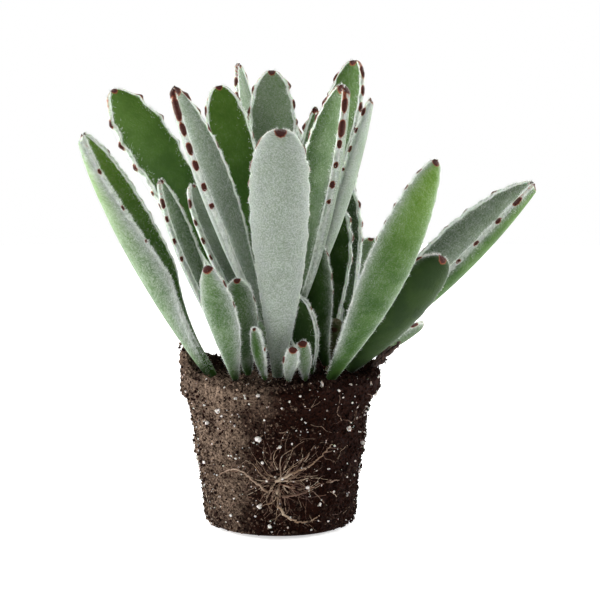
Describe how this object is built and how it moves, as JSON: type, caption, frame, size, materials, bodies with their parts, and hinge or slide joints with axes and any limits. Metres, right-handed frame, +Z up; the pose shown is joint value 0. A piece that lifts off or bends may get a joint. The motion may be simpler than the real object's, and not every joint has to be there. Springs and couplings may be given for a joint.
{
  "type": "potted kalanchoe lifted out of its pot",
  "caption": "Young felt-leaved panda plant, a kalanchoe, standing on the bare pot-shaped root ball it was lifted out of its pot with.",
  "frame": {"origin": "centre of the root ball's flat underside", "axes": "+Z up through the root ball, -Y towards the viewer's side, where the tallest felted leaf stands"},
  "size_m": [0.131, 0.0858, 0.1333],
  "materials": {
    "compost": "matt, crumbly",
    "leaf": "dense white felt",
    "stem": "felted",
    "root": "matt",
    "perlite": "matt, pitted",
    "bark": "matt"
  },
  "bodies": {
    "root": {"root_ball": "compost", "left_stem": "stem", "middle_stem": "stem", "right_stem": "stem", "back_stem": "stem", "left_leaf_1": "leaf", "left_leaf_2": "leaf", "left_leaf_3": "leaf", "left_leaf_4": "leaf", "left_leaf_5": "leaf", "left_leaf_6": "leaf", "left_leaf_7": "leaf", "left_leaf_8": "leaf", "middle_leaf_1": "leaf", "middle_leaf_2": "leaf", "middle_leaf_3": "leaf", "middle_leaf_4": "leaf", "middle_leaf_5": "leaf", "middle_leaf_6": "leaf", "middle_leaf_7": "leaf", "middle_leaf_8": "leaf", "right_leaf_1": "leaf", "right_leaf_2": "leaf", "right_leaf_3": "leaf", "right_leaf_4": "leaf", "right_leaf_5": "leaf", "right_leaf_6": "leaf", "right_leaf_7": "leaf", "right_leaf_8": "leaf", "right_leaf_9": "leaf", "right_leaf_10": "leaf", "right_leaf_11": "leaf", "back_leaf_1": "leaf", "back_leaf_2": "leaf", "back_leaf_3": "leaf", "back_leaf_4": "leaf", "back_leaf_5": "leaf", "back_leaf_6": "leaf", "back_leaf_7": "leaf", "back_leaf_8": "leaf", "back_leaf_9": "leaf", "pup_leaf_1": "leaf", "pup_leaf_2": "leaf", "pup_leaf_3": "leaf", "surface_root_1": "root", "surface_root_2": "root", "surface_root_3": "root", "surface_root_4": "root", "surface_root_5": "root", "surface_root_6": "root", "surface_root_7": "root", "perlite_grain_1": "perlite", "perlite_grain_2": "perlite", "perlite_grain_3": "perlite", "perlite_grain_4": "perlite", "perlite_grain_5": "perlite", "bark_chip": "bark"}
  },
  "joints": []
}
